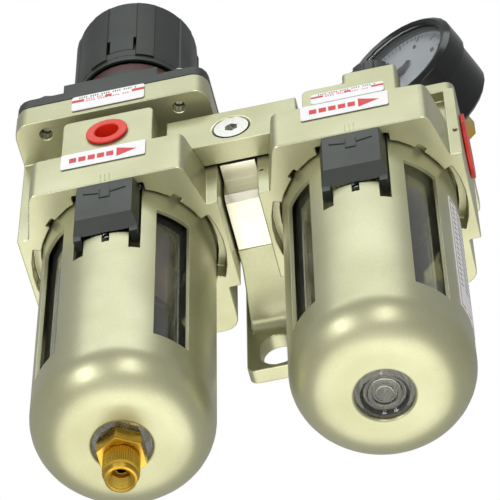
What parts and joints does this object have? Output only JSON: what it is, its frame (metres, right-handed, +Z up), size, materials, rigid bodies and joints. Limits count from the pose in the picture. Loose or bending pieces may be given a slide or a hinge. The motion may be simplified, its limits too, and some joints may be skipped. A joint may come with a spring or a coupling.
{
  "type": "filter regulator lubricator",
  "caption": "Modular compressed-air filter regulator and lubricator on a wall bracket, with guarded bowls, pull-lock knob, drain cock and pressure gauge.",
  "frame": {"origin": "centre of the wall bracket's back face, level with the air ports", "axes": "+X towards the outlet, +Y into the wall, +Z up; the bowls hang down"},
  "size_m": [0.165, 0.0852, 0.2665],
  "materials": {
    "champagne_paint": "metallic powder coat",
    "bare_aluminium": "extruded, milled",
    "zinc_plated_steel": "zinc plated",
    "spring_steel": "drawn wire",
    "machined_brass": "turned",
    "slate_plastic": "moulded, fine grain",
    "black_plastic": "moulded",
    "red_plastic": "moulded polyethylene",
    "lock_ring_red": "moulded",
    "nitrile_rubber": "moulded",
    "sintered_element": "sintered, porous",
    "clear_polycarbonate": "clear moulding",
    "gauge_lens_clear": "clear moulding",
    "printed_label": "printed film"
  },
  "bodies": {
    "base": {"filter_regulator_body": "champagne_paint", "lubricator_body": "champagne_paint", "holder": "champagne_paint", "wall_bracket": "champagne_paint", "spacer": "bare_aluminium", "holder_screw": "zinc_plated_steel", "regulating_spring": "spring_steel", "valve_spring": "spring_steel", "valve_guide": "machined_brass", "gauge_socket": "machined_brass", "gauge_elbow": "machined_brass", "bonnet": "slate_plastic", "deflector": "slate_plastic", "baffle": "slate_plastic", "gauge_case": "black_plastic", "lock_ring": "lock_ring_red", "diaphragm": "nitrile_rubber", "flow_damper": "nitrile_rubber", "filter_bowl_seal": "nitrile_rubber", "lubricator_bowl_seal": "nitrile_rubber", "spacer_seal_inlet": "nitrile_rubber", "spacer_seal_outlet": "nitrile_rubber", "filter_element": "sintered_element", "pickup_strainer": "sintered_element", "sight_dome": "clear_polycarbonate", "pickup_tube": "clear_polycarbonate", "gauge_lens": "gauge_lens_clear", "gauge_dial": "printed_label", "regulator_label": "printed_label", "filter_label": "printed_label", "lubricator_type_label": "printed_label", "lubricator_name_label": "printed_label", "bonnet_screw_1": "zinc_plated_steel", "bonnet_screw_2": "zinc_plated_steel", "bonnet_screw_3": "zinc_plated_steel", "bonnet_screw_4": "zinc_plated_steel", "bracket_bolt_1": "zinc_plated_steel", "bracket_bolt_2": "zinc_plated_steel"},
    "adjuster": {"adjusting_screw": "zinc_plated_steel"},
    "knob": {"regulator_knob": "slate_plastic"},
    "seat": {"spring_seat": "zinc_plated_steel"},
    "poppet": {"valve_poppet": "machined_brass"},
    "filter_bowl_unit": {"filter_bowl": "clear_polycarbonate", "filter_bowl_guard": "champagne_paint", "filter_latch_spring": "spring_steel", "drain_body": "machined_brass"},
    "filter_latch": {"filter_latch": "slate_plastic"},
    "drain": {"drain_knob": "machined_brass"},
    "lubricator_bowl_unit": {"lubricator_bowl": "clear_polycarbonate", "lubricator_bowl_guard": "champagne_paint", "lubricator_latch_spring": "spring_steel", "guard_sticker": "printed_label"},
    "lubricator_latch": {"lubricator_latch": "slate_plastic"},
    "feed": {"feed_screw": "machined_brass"},
    "filler": {"fill_plug": "slate_plastic"},
    "pointer": {"gauge_pointer": "black_plastic"},
    "inlet_cap": {"inlet_cap": "red_plastic"},
    "outlet_cap": {"outlet_cap": "red_plastic"},
    "front_plug": {"gauge_port_plug": "red_plastic"}
  },
  "joints": [
    {"name": "pressure_adjust", "type": "hinge", "parent": "base", "child": "adjuster", "pos_m": [-0.042, -0.05, 0.09], "axis": [0, 0, 1], "range_deg": [-720, 720]},
    {"name": "knob_pull", "type": "slide", "parent": "adjuster", "child": "knob", "axis": [0, 0, 1], "range_m": [-0.0035, 0]},
    {"name": "spring_seat_travel", "type": "slide", "parent": "base", "child": "seat", "axis": [0, 0, 1], "range_m": [-0.003, 0.003], "deforming": ["regulating_spring"]},
    {"name": "valve_lift", "type": "slide", "parent": "base", "child": "poppet", "axis": [0, 0, 1], "range_m": [-0.0012, 0], "stiffness_N_per_m": 800, "springref_m": 0.0005, "deforming": ["valve_spring"]},
    {"name": "filter_bowl_turn", "type": "hinge", "parent": "base", "child": "filter_bowl_unit", "pos_m": [-0.042, -0.05, -0.03], "axis": [0, 0, 1], "range_deg": [0, 45]},
    {"name": "filter_latch_slide", "type": "slide", "parent": "filter_bowl_unit", "child": "filter_latch", "axis": [0, 0, 1], "range_m": [-0.005, 0], "stiffness_N_per_m": 300, "springref_m": 0.002, "deforming": ["filter_latch_spring"]},
    {"name": "drain_turn", "type": "hinge", "parent": "filter_bowl_unit", "child": "drain", "pos_m": [-0.042, -0.05, -0.147], "axis": [0, 0, 1], "range_deg": [0, 540]},
    {"name": "lubricator_bowl_turn", "type": "hinge", "parent": "base", "child": "lubricator_bowl_unit", "pos_m": [0.042, -0.05, -0.03], "axis": [0, 0, 1], "range_deg": [0, 45]},
    {"name": "lubricator_latch_slide", "type": "slide", "parent": "lubricator_bowl_unit", "child": "lubricator_latch", "axis": [0, 0, 1], "range_m": [-0.005, 0], "stiffness_N_per_m": 300, "springref_m": 0.002, "deforming": ["lubricator_latch_spring"]},
    {"name": "oil_feed_adjust", "type": "hinge", "parent": "base", "child": "feed", "pos_m": [0.042, -0.05, 0.03], "axis": [0, 0, 1], "range_deg": [-720, 720]},
    {"name": "fill_plug_turn", "type": "hinge", "parent": "base", "child": "filler", "pos_m": [0.0501, -0.0735, 0.012], "axis": [0, 0, 1], "range_deg": [0, 1080]},
    {"name": "gauge_needle", "type": "hinge", "parent": "base", "child": "pointer", "pos_m": [0.05577, -0.05396, 0.0604], "axis": [0.4226, 0.9063, 0], "range_deg": [0, 270]},
    {"name": "inlet_cap_pull", "type": "slide", "parent": "base", "child": "inlet_cap", "axis": [-1, 0, 0], "range_m": [0, 0.012]},
    {"name": "outlet_cap_pull", "type": "slide", "parent": "base", "child": "outlet_cap", "axis": [1, 0, 0], "range_m": [0, 0.012]},
    {"name": "front_plug_pull", "type": "slide", "parent": "base", "child": "front_plug", "axis": [0, -1, 0], "range_m": [0, 0.012]}
  ],
  "couplings": [
    {"joint": "spring_seat_travel", "follows": "pressure_adjust", "m_per_rad": -0.00023873}
  ]
}
